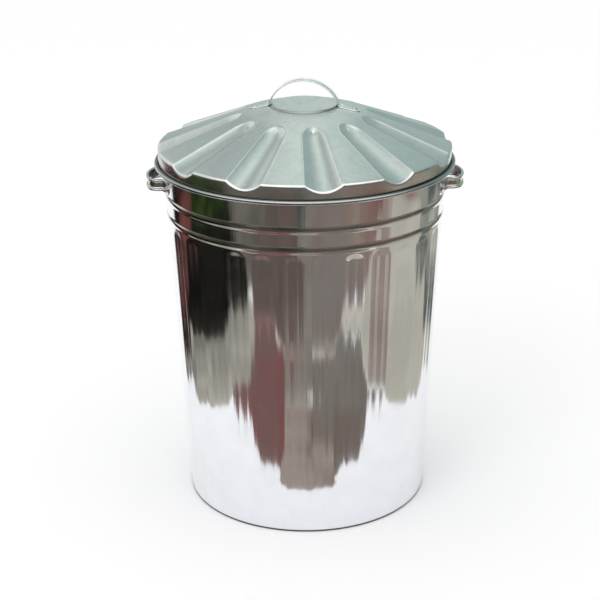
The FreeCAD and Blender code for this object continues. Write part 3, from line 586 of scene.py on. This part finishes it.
def lid_top(radius, angles):
    """Height of the lid's outer face over a point: disc, crown, cone and flutes."""
    cone = soft_min(PEAK_UP - LID_SLOPE * radius, CROWN_PEAK_UP - CROWN_SLOPE * radius, CROWN_BLEND)
    inside = 1 - smooth_step(DISC_RADIUS - 0.5, DISC_RADIUS + DISC_RUN + 0.5, radius)
    plain = cone * (1 - inside) + DISC_UP * inside
    period = 2 * np.pi / LID_FLUTES
    off = (angles - LID_TURN) % period - period / 2
    x, y = radius * np.cos(off), radius * np.sin(off)
    away = (x + POINT_BACK) / (CORNER_ACROSS + POINT_BACK)
    half, depth = LID_FLUTE_WIDTH / 2 * away, LID_FLUTE_DEPTH * away
    along = np.maximum(FLUTE_INNER_END + FLUTE_ROUND - x, 0) / FLUTE_ROUND
    reach = (y / half) ** 2 + along ** 2
    groove = plain - depth * (1 - reach)
    lip = LID_LIP * np.exp(-((np.sqrt(reach) - 1) * half / LID_LIP_SIZE) ** 2)
    dent = np.exp(-((x - DIMPLE_ACROSS) ** 2 + y * y) / DIMPLE_SIZE ** 2)
    return soft_min(plain, groove, FLUTE_EDGE) + lip - DIMPLE_DEPTH * dent


def make_lid_shell(material):
    """The lid as one closed sheet: disc, cone, flutes, rounded corner, skirt and the bead's curl."""
    angles = np.linspace(0, 2 * np.pi, LID_COLUMNS, endpoint=False)[None, :]
    radius = spans((0.6, 8.0), (DISC_RADIUS - 3, 0.5), (DISC_RADIUS + DISC_RUN + 2, 3.0), (75, 1.25),
                   (108, 3.0), (CORNER_ACROSS - CORNER_IN - 3, 1.0))[:-1, None] + 0 * angles
    top = lid_top(radius, angles)
    skirt_out = SKIRT_INSIDE + SHEET

    def skirt(up):
        return skirt_out + LID_FLARE * (up - BEAD_UP) / LID_SKIRT

    corner = CORNER_ACROSS + 0 * angles
    for _ in range(4):
        corner_up = lid_top(corner, angles)
        corner = skirt(corner_up)
    share = np.linspace(0, 1, 10)[:, None]

    def rounded(inset):
        """The corner's curve from the top face to the skirt, or that of the inner face."""
        inset_up = inset / SHEET * SHEET_UPRIGHT
        start_r, start_up = corner - CORNER_IN, lid_top(corner - CORNER_IN, angles) - inset_up
        stop_up = corner_up - CORNER_DOWN
        stop_r = skirt(stop_up) - inset
        mid_r, mid_up = corner - inset, corner_up - inset_up
        across = (1 - share) ** 2 * start_r + 2 * share * (1 - share) * mid_r + share ** 2 * stop_r
        height = (1 - share) ** 2 * start_up + 2 * share * (1 - share) * mid_up + share ** 2 * stop_up
        return across, height

    round_out, round_in = rounded(0), rounded(SHEET)
    down = np.linspace(0, 1, 8)[1:, None]
    skirt_up = round_out[1][-1:] * (1 - down) + BEAD_UP * down

    def bead(size, start, stop):
        turn = np.linspace(start, stop, BEAD_STEPS)[:, None]
        return BEAD_ACROSS + size * np.cos(turn) + 0 * angles, BEAD_UP + size * np.sin(turn) + 0 * angles

    stop_turn = math.pi + (2 * math.pi - CURL_GAP)
    wire_side = bead(LID_BEAD - SHEET, math.pi, stop_turn)
    open_side = bead(LID_BEAD, stop_turn, math.pi)
    rows_radius = [radius, round_out[0], skirt(skirt_up), wire_side[0][1:], open_side[0],
                   (skirt(skirt_up) - SHEET)[::-1][1:], round_in[0][::-1], radius[::-1]]
    rows_up = [top, round_out[1], skirt_up, wire_side[1][1:], open_side[1],
               skirt_up[::-1][1:], round_in[1][::-1], (top - SHEET_UPRIGHT)[::-1]]
    across = np.concatenate(rows_radius)
    height = np.concatenate(rows_up)
    points = ring_points(across, height, np.broadcast_to(angles, across.shape))
    rows, columns = across.shape
    faces = grid_faces(rows, columns, False, True)
    faces.append(list(range(columns))[::-1])
    faces.append([(rows - 1) * columns + n for n in range(columns)])
    return add_mesh("lid_sheet", points, faces, material)


# ---------------------------------------------------------------- materials


class Nodes:
    """Short calls for building one material's node tree."""

    def __init__(self, name):
        self.material = bpy.data.materials.new(name)
        self.material.use_nodes = True
        self.tree = self.material.node_tree
        self.shader = self.tree.nodes["Principled BSDF"]

    def add(self, kind, settings=None, **inputs):
        node = self.tree.nodes.new(kind)
        for key, value in (settings or {}).items():
            setattr(node, key, value)
        for key, value in inputs.items():
            self.feed(node, key.replace("_", " "), value)
        return node

    def feed(self, node, socket, value):
        target = node.inputs[int(socket[1:])] if socket[0] == "n" and socket[1:].isdigit() \
            else node.inputs[socket]
        if hasattr(value, "is_output"):
            self.tree.links.new(value, target)
        else:
            target.default_value = value

    def math(self, operation, first, second=0.0):
        return self.add("ShaderNodeMath", {"operation": operation}, n0=first, n1=second).outputs[0]

    def noise(self, vector, scale, detail=2.0, roughness=0.5, distortion=0.0):
        return self.add("ShaderNodeTexNoise", Vector=vector, Scale=scale, Detail=detail,
                        Roughness=roughness, Distortion=distortion).outputs["Fac"]

    def spread(self, value, low, high, to_low, to_high):
        """The value moved from one range to another, held at its ends."""
        node = self.add("ShaderNodeMapRange", Value=value)
        for socket, limit in (("From Min", low), ("From Max", high), ("To Min", to_low), ("To Max", to_high)):
            node.inputs[socket].default_value = limit
        return node.outputs["Result"]

    def blend(self, share, first, second):
        node = self.add("ShaderNodeMix", {"data_type": "RGBA"})
        self.feed(node, "Factor", share)
        for socket, value in ((6, first), (7, second)):
            if hasattr(value, "is_output"):
                self.tree.links.new(value, node.inputs[socket])
            else:
                node.inputs[socket].default_value = (*value, 1)
        return node.outputs[2]

    def round_axis(self, across, along):
        """Coordinates that run round the z axis and up it, with no join: both in units of a metre."""
        place = self.add("ShaderNodeTexCoord").outputs["Object"]
        parts = self.add("ShaderNodeSeparateXYZ", Vector=place)
        flat = self.add("ShaderNodeCombineXYZ", X=parts.outputs["X"], Y=parts.outputs["Y"]).outputs[0]
        around = self.add("ShaderNodeVectorMath", {"operation": "NORMALIZE"}, n0=flat).outputs[0]
        scaled = self.add("ShaderNodeVectorMath", {"operation": "SCALE"}, n0=around)
        scaled.inputs["Scale"].default_value = across
        height = self.math("MULTIPLY", parts.outputs["Z"], along)
        lifted = self.add("ShaderNodeCombineXYZ", Z=height).outputs[0]
        both = self.add("ShaderNodeVectorMath", {"operation": "ADD"}, n0=scaled.outputs[0], n1=lifted)
        return both.outputs[0]

    def bump(self, height, distance, normal=None):
        node = self.add("ShaderNodeBump", Height=height, Distance=distance)
        node.inputs["Strength"].default_value = 1.0
        if normal is not None:
            self.tree.links.new(normal, node.inputs["Normal"])
        return node.outputs["Normal"]


# painted shade on the swages' upper flanks: a line's height over each centre, its half width and its fade
SWAGE_SHADE_UP = 1.5
SWAGE_SHADE_HALF = 1.5
SWAGE_SHADE_END = 4.0


def bright_sheet():
    """The can's wall: bright zinc with fine upright streaks, a few faint smudges and painted shade."""
    n = Nodes("can_bright_zinc")
    n.shader.inputs["Metallic"].default_value = 1.0
    streaks = n.noise(n.round_axis(95, 1.2), 1.0, 3.0, 0.6)
    broad = n.noise(n.round_axis(14, 1.6), 1.0, 2.0, 0.5)
    place = n.add("ShaderNodeTexCoord").outputs["Object"]
    cloud = n.noise(place, 26.0, 4.0, 0.6)
    grain = n.noise(place, 420.0, 2.0, 0.6)
    tone = n.blend(n.spread(cloud, 0.35, 0.7, 0.0, 1.0), (0.88, 0.885, 0.92), (0.83, 0.84, 0.87))
    tone = n.blend(n.spread(streaks, 0.35, 0.75, 0.0, 0.35), tone, (0.94, 0.945, 0.98))
    height = n.add("ShaderNodeSeparateXYZ", Vector=place).outputs["Z"]
    # painted contact shadow, partly also dirt: below the hem line the wall turns nearly black
    hem = n.spread(height, (HEM_LINE - 0.4) * MM, (HEM_LINE + 0.4) * MM, 1.0, 0.0)
    tone = n.blend(hem, tone, (0.10, 0.095, 0.09))
    # painted shade: the wall's top strip, under the lid's bead, darkened
    shade = n.spread(height, (BEAD_UP - 9) * MM, (BEAD_UP - 3) * MM, 0.0, 0.75)
    tone = n.blend(shade, tone, (0.16, 0.155, 0.15))
    # painted shade: a dark line along each swage's upper flank, which dulls the sky it mirrors
    for swage in SWAGES:
        off = n.math("ABSOLUTE", n.math("SUBTRACT", height, (swage + SWAGE_SHADE_UP) * MM))
        line = n.spread(off, SWAGE_SHADE_HALF * MM, SWAGE_SHADE_END * MM, 0.85, 0.0)
        tone = n.blend(line, tone, (0.38, 0.36, 0.345))
    n.feed(n.shader, "Base Color", tone)
    rough = n.math("ADD", n.spread(streaks, 0.3, 0.75, 0.06, 0.12), n.spread(cloud, 0.45, 0.75, 0.0, 0.05))
    n.feed(n.shader, "Roughness", rough)
    normal = n.bump(broad, 0.00030)
    normal = n.bump(streaks, 0.00006, normal)
    normal = n.bump(grain, 0.000004, normal)
    n.feed(n.shader, "Normal", normal)
    return n.material


def satin_sheet():
    """The lid: satin zinc, faintly green-grey, mottled, with smudges and dust on the disc, and painted shade.
    """
    n = Nodes("lid_satin_zinc")
    n.shader.inputs["Metallic"].default_value = 1.0
    place = n.add("ShaderNodeTexCoord").outputs["Object"]
    cloud = n.noise(place, 9.0, 5.0, 0.62)
    mottle = n.noise(place, 120.0, 3.0, 0.65)
    grime = n.noise(place, 22.0, 5.0, 0.7, 0.6)
    tone = n.blend(n.spread(cloud, 0.35, 0.68, 0.0, 1.0), (0.74, 0.76, 0.75), (0.62, 0.65, 0.64))
    tone = n.blend(n.spread(mottle, 0.3, 0.75, 0.0, 0.4), tone, (0.84, 0.85, 0.84))
    parts = n.add("ShaderNodeSeparateXYZ", Vector=place)
    flat = n.add("ShaderNodeCombineXYZ", X=parts.outputs["X"], Y=parts.outputs["Y"]).outputs[0]
    across = n.add("ShaderNodeVectorMath", {"operation": "LENGTH"}, n0=flat).outputs["Value"]
    near_disc = n.spread(across, 0.03, 0.10, 1.0, 0.15)
    dust = n.math("MULTIPLY", n.spread(grime, 0.52, 0.72, 0.0, 0.7), near_disc)
    tone = n.blend(dust, tone, (0.50, 0.46, 0.38))
    # painted shadow: a dark ring over the disc's step and round its foot
    step_foot = DISC_RADIUS + DISC_RUN
    foot = n.spread(across, (step_foot + 0.2) * MM, (step_foot + 1.8) * MM, 0.85, 0.0)
    outside = n.spread(across, (DISC_RADIUS - 0.4) * MM, (DISC_RADIUS + 0.4) * MM, 0.0, 1.0)
    foot = n.math("MULTIPLY", foot, outside)
    tone = n.blend(foot, tone, (0.25, 0.27, 0.27))
    # painted shade: a dark band where the skirt meets the bead's curl, and the curl below it dimmed to mid
    # grey
    up = n.math("SUBTRACT", parts.outputs["Z"], BEAD_UP * MM)
    tone = n.blend(n.spread(up, 4.0 * MM, 6.0 * MM, 1.0, 0.0), tone, (0.16, 0.16, 0.155))
    tone = n.blend(n.spread(up, 2.6 * MM, 3.2 * MM, 1.0, 0.0), tone, (0.44, 0.46, 0.46))
    n.feed(n.shader, "Base Color", tone)
    rough = n.math("ADD", n.spread(cloud, 0.3, 0.7, 0.20, 0.30), n.math("MULTIPLY", dust, 0.2))
    n.feed(n.shader, "Roughness", n.math("MULTIPLY", rough, n.spread(up, 6 * MM, 16 * MM, 0.75, 1.0)))
    normal = n.bump(cloud, 0.0008)
    normal = n.bump(mottle, 0.00002, normal)
    n.feed(n.shader, "Normal", normal)
    return n.material


def plain_zinc(name, light, dark, low, high, scale):
    """Straps, rivets and wires: zinc with small clouds and a fine grain."""
    n = Nodes(name)
    n.shader.inputs["Metallic"].default_value = 1.0
    place = n.add("ShaderNodeTexCoord").outputs["Object"]
    cloud = n.noise(place, scale, 4.0, 0.6)
    grain = n.noise(place, scale * 8, 2.0, 0.6)
    n.feed(n.shader, "Base Color", n.blend(n.spread(cloud, 0.35, 0.7, 0.0, 1.0), light, dark))
    n.feed(n.shader, "Roughness", n.spread(cloud, 0.3, 0.7, low, high))
    n.feed(n.shader, "Normal", n.bump(grain, 0.00001))
    return n.material


# ---------------------------------------------------------------- the object's pieces

BRIGHT = bright_sheet()
SATIN = satin_sheet()
STRAP = plain_zinc("strap_zinc", (0.68, 0.67, 0.65), (0.52, 0.51, 0.49), 0.14, 0.24, 60.0)
LID_STRAP = plain_zinc("lid_strap_zinc", (0.84, 0.87, 0.86), (0.72, 0.75, 0.74), 0.30, 0.40, 60.0)
RIVET = plain_zinc("rivet_zinc", (0.78, 0.77, 0.75), (0.55, 0.53, 0.50), 0.22, 0.36, 150.0)
WIRE = plain_zinc("wire_zinc", (0.70, 0.71, 0.71), (0.55, 0.56, 0.56), 0.25, 0.35, 80.0)


def settle(piece, body, slot, *nodes):
    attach(piece, body)
    if nodes:
        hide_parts(*nodes)


can_wall = make_body_shell(BRIGHT)
settle(can_wall, "can", "can_sheet", "body_shell")
can_floor = make_base_pan(BRIGHT)
fix_normals(can_floor)
settle(can_floor, "can", "can_sheet", "base_pan")
for word, side in (("left", -1), ("right", 1)):
    handle = make_side_handle(f"carry_strap_{word}", side, STRAP)
    settle(handle, "can", "strap", f"handle_{word}")
    for number, (spot, outward) in enumerate(wall_rivet_places(side), start=1):
        rivet = make_rivet(f"rivet_{word}_{number}", spot, outward, RIVET)
        settle(rivet, "can", "rivet", f"handle_rivets_{word}")
lid_sheet = make_lid_shell(SATIN)
settle(lid_sheet, "lid", "lid_sheet", "lid_shell")
lid_strap = make_lid_handle(LID_STRAP)
settle(lid_strap, "lid", "strap", "lid_handle")
for number, (spot, outward) in enumerate(lid_rivet_places(), start=1):
    rivet = make_rivet(f"lid_rivet_{number}", spot, outward, RIVET)
    settle(rivet, "lid", "rivet", "lid_handle_rivets")
for node in ("body_rim_wire", "lid_rim_wire"):
    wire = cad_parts[node]
    for slot_number in range(len(wire.material_slots)):
        wire.material_slots[slot_number].material = WIRE

# ---------------------------------------------------------------- floor, mats and light


def glow_only(name, points, faces, n, tone):
    """A mesh of the stage, in metres, that gives off a tone and that only reflections show."""
    mesh = bpy.data.meshes.new(name)
    mesh.from_pydata([tuple(point) for point in points], [], faces)
    thing = bpy.data.objects.new(name, mesh)
    bpy.context.scene.collection.objects.link(thing)
    n.tree.nodes.remove(n.shader)
    glow = n.add("ShaderNodeEmission", Color=tone)
    n.tree.links.new(glow.outputs[0], n.tree.nodes["Material Output"].inputs["Surface"])
    mesh.materials.append(n.material)
    thing.visible_camera = False
    thing.visible_diffuse = False
    thing.visible_shadow = False
    thing.visible_transmission = False


def ground_mat(name, corners, colour, second, scale, lift):
    """A flat mat of two mixed colours, just above the ground."""
    n = Nodes(name + "_colour")
    place = n.add("ShaderNodeTexCoord").outputs["Object"]
    share = n.spread(n.noise(place, scale, 3.0, 0.6), 0.4, 0.6, 0.0, 1.0)
    glow_only(name, [(x, y, lift) for x, y in corners], [list(range(len(corners)))], n,
              n.blend(share, colour, second))


def box_corners(x_low, x_high, y_low, y_high):
    return [(x_low, y_low), (x_high, y_low), (x_high, y_high), (x_low, y_high)]


BRICK = (0.17, 0.065, 0.055)
MAROON = (0.20, 0.085, 0.08)
BROWN = (0.17, 0.13, 0.11)
GREY = (0.20, 0.19, 0.165)
DRAB = (0.30, 0.28, 0.25)
SAND = (0.34, 0.285, 0.24)
PALE = (0.62, 0.56, 0.50)
BLACK = (0.006, 0.006, 0.006)
GREEN = (0.05, 0.085, 0.02)
BEIGE = (0.52, 0.50, 0.42)
KHAKI = (0.44, 0.425, 0.35)
SLATE = (0.07, 0.09, 0.085)

# what the can mirrors: a white sheet under it, and a yard's colours from its edges on
MAT_LIFT = 0.002
LIMIT = 3.2
MATS = [
    ("front_middle", box_corners(-0.12, 0.10, -0.56, -0.30), SAND, BROWN, 4.0),
    ("front_left", box_corners(-0.48, -0.12, -0.72, -0.33), MAROON, (0.17, 0.115, 0.10), 3.0),
    ("front_right", box_corners(0.10, 0.48, -0.72, -0.32), BROWN, GREY, 4.0),
    ("line_middle", box_corners(-0.12, 0.10, -0.62, -0.56), PALE, GREY, 9.0),
    ("line_right", box_corners(0.10, 0.6, -0.77, -0.72), PALE, GREY, 9.0),
    ("line_left", box_corners(-0.6, -0.12, -0.77, -0.72), PALE, MAROON, 9.0),
    ("front_far", box_corners(-0.12, 0.10, -1.6, -0.62), (0.25, 0.23, 0.195), (0.19, 0.175, 0.15), 3.0),
    ("front_far_right", box_corners(0.10, 0.7, -1.6, -0.77), (0.21, 0.19, 0.17), (0.20, 0.15, 0.13), 1.6),
    ("front_far_left", box_corners(-0.7, -0.12, -1.6, -0.77), (0.15, 0.105, 0.09), (0.09, 0.08, 0.07), 3.4),
    ("outer_front", box_corners(-0.7, 0.7, -LIMIT, -1.6), (0.21, 0.19, 0.165), (0.15, 0.13, 0.115), 2.0),
    ("left_edge", box_corners(-0.75, -0.48, -0.72, 0.3), KHAKI, GREY, 3.0),
    ("left_near", box_corners(-1.35, -0.75, -0.72, 0.3), BLACK, (0.016, 0.015, 0.012), 3.0),
    ("left_far", box_corners(-LIMIT, -1.35, -0.72, 0.35), GREEN, BLACK, 3.0),
    ("left_front", box_corners(-LIMIT, -0.7, -LIMIT, -0.72), (0.09, 0.085, 0.07), (0.17, 0.155, 0.13), 2.4),
    ("right_near", box_corners(0.49, 1.5, -0.72, 0.3), BEIGE, KHAKI, 2.0),
    ("right_far", box_corners(1.5, LIMIT, -0.72, 0.35), KHAKI, BRICK, 1.2),
    ("right_front", box_corners(0.7, LIMIT, -LIMIT, -0.72), (0.30, 0.27, 0.22), BRICK, 1.0),
    ("behind", [(-0.22, 0.5), (0.22, 0.5), (0.27, 1.05), (-0.27, 1.05)], SAND, DRAB, 4.0),
    ("behind_far", [(-0.27, 1.05), (0.27, 1.05), (0.38, 2.4), (-0.38, 2.4)], DRAB, SLATE, 2.0),
    ("left_back", [(-0.48, 0.3), (-1.15, 1.1), (-1.7, 2.4), (-LIMIT, 2.4), (-LIMIT, 0.3)], BRICK, BLACK, 2.0),
    ("right_back", [(0.49, 0.3), (LIMIT, 0.3), (LIMIT, 2.4), (1.6, 2.4), (1.0, 1.15)], SLATE, KHAKI, 2.0),
]
# narrow strips that lie over the mats
STRIPS = [
    ("right_stripe", [(0.498, -0.354), (2.82, -1.48), (2.99, -1.05), (0.52, -0.293)],
     (0.23, 0.165, 0.145), (0.31, 0.25, 0.22), 3.0),
    ("green_patch", [(-1.25, -0.72), (-LIMIT, -1.7), (-LIMIT, -0.72)], (0.05, 0.045, 0.03), GREEN, 2.0),
    ("dark_patch", box_corners(-0.16, 0.0, -2.4, -1.3), (0.03, 0.04, 0.037), SLATE, 5.0),
]
for mats, lift in ((MATS, MAT_LIFT), (STRIPS, 2 * MAT_LIFT)):
    for name, corners, colour, second, scale in mats:
        ground_mat("mat_" + name, corners, colour, second, scale, lift)

DOME_RADIUS = 3.3
DOME_RINGS = 24
DOME_COLUMNS = 64
YARD_DARK = (0.05, 0.055, 0.045)
YARD_LIGHT = (0.20, 0.18, 0.155)
SKY_LOW = (0.54, 0.63, 0.615)
SKY_HIGH = (0.80, 0.90, 0.85)
SKY_RIGHT = (0.38, 0.495, 0.485)
SKY_LEFT = (0.88, 0.91, 0.88)
SKY_BAND = (0.42, 0.49, 0.48)
SKY_FRONT = (1.5, 1.5, 1.5)


def make_dome():
    """The sky: a yard low down in front, white above it, and behind grey-green, darker to the right."""
    rise = np.linspace(0, np.pi / 2, DOME_RINGS)[:-1, None]
    turn = np.linspace(0, 2 * np.pi, DOME_COLUMNS, endpoint=False)[None, :]
    points = ring_points(np.cos(rise) + 0 * turn, np.sin(rise) + 0 * turn, turn).reshape(-1, 3)
    faces = grid_faces(DOME_RINGS - 1, DOME_COLUMNS, False, True)
    faces.append([(DOME_RINGS - 2) * DOME_COLUMNS + n for n in range(DOME_COLUMNS)])
    n = Nodes("dome_colour")
    place = n.add("ShaderNodeTexCoord").outputs["Object"]
    x, y, z = n.add("ShaderNodeSeparateXYZ", Vector=place).outputs[:]
    blotch = n.spread(n.noise(place, 1.2 / DOME_RADIUS, 3.0, 0.6), 0.4, 0.6, 0.0, 1.0)
    yard = n.blend(blotch, YARD_DARK, YARD_LIGHT)
    size = DOME_RADIUS
    sky = n.blend(n.spread(z, 0.30 * size, 0.78 * size, 0.0, 1.0), SKY_LOW, SKY_HIGH)
    sky = n.blend(n.spread(x, 0.04 * size, 0.38 * size, 0.0, 1.0), sky, SKY_RIGHT)
    sky = n.blend(n.spread(x, -0.26 * size, -0.04 * size, 1.0, 0.0), sky, SKY_BAND)
    sky = n.blend(n.spread(x, -0.52 * size, -0.32 * size, 1.0, 0.0), sky, SKY_LEFT)
    sky = n.blend(n.spread(y, -0.30 * size, -0.05 * size, 1.0, 0.0), sky, SKY_FRONT)
    low = n.math("MULTIPLY", n.spread(z, 0.36 * size, 0.46 * size, 1.0, 0.0),
                 n.spread(y, 0.20 * size, 0.45 * size, 1.0, 0.0))
    tone = n.blend(low, sky, yard)
    glow_only("dome", points * DOME_RADIUS, faces, n, tone)


make_dome()


def make_floor():
    """A plain pale floor that keeps the object's shadow."""
    reach = 12.0
    mesh = bpy.data.meshes.new("floor")
    mesh.from_pydata([(x, y, 0) for x, y in box_corners(-reach, reach, -reach, reach)], [], [[0, 1, 2, 3]])
    floor = bpy.data.objects.new("floor", mesh)
    bpy.context.scene.collection.objects.link(floor)
    n = Nodes("floor_white")
    n.shader.inputs["Base Color"].default_value = (0.985, 0.985, 0.99, 1)
    n.shader.inputs["Roughness"].default_value = 1.0
    n.shader.inputs["Specular IOR Level"].default_value = 0.0
    mesh.materials.append(n.material)


make_floor()


def make_world():
    world = bpy.data.worlds.new("studio")
    bpy.context.scene.world = world
    world.use_nodes = True
    light = world.node_tree.nodes["Background"]
    light.inputs["Color"].default_value = (1, 1, 1, 1)
    light.inputs["Strength"].default_value = 1.0


make_world()


def make_lamp(name, place, target, size, power):
    light = bpy.data.lights.new(name, "AREA")
    light.shape = "DISK"
    light.size = size
    light.energy = power
    lamp = bpy.data.objects.new(name, light)
    lamp.location = place
    lamp.rotation_euler = (Vector(target) - Vector(place)).to_track_quat("-Z", "Y").to_euler()
    bpy.context.scene.collection.objects.link(lamp)


make_lamp("key", (-1.4, -2.2, 2.6), (0, 0, 0.4), 1.6, 14)

# ---------------------------------------------------------------- camera

EYE = Vector((0, -2.25094, 1.19182))
PITCH, YAW, ROLL = math.radians(21.372), math.radians(-0.237), math.radians(-0.542)
FOCAL_PIXELS = 1520.12
PICTURE_PIXELS = 600


def make_camera():
    camera = bpy.data.cameras.new("camera")
    camera.sensor_width = 36
    camera.lens = camera.sensor_width * FOCAL_PIXELS / PICTURE_PIXELS
    thing = bpy.data.objects.new("camera", camera)
    forward = Vector((math.sin(YAW) * math.cos(PITCH), math.cos(YAW) * math.cos(PITCH), -math.sin(PITCH)))
    right = Vector((math.cos(YAW), -math.sin(YAW), 0))
    up = right.cross(forward)
    right, up = (math.cos(ROLL) * right + math.sin(ROLL) * up,
                 -math.sin(ROLL) * right + math.cos(ROLL) * up)
    turned = Matrix((right, up, -forward)).transposed().to_4x4()
    thing.matrix_world = Matrix.Translation(EYE) @ turned
    bpy.context.scene.collection.objects.link(thing)
    bpy.context.scene.camera = thing


make_camera()
bpy.context.scene.view_settings.view_transform = "Standard"
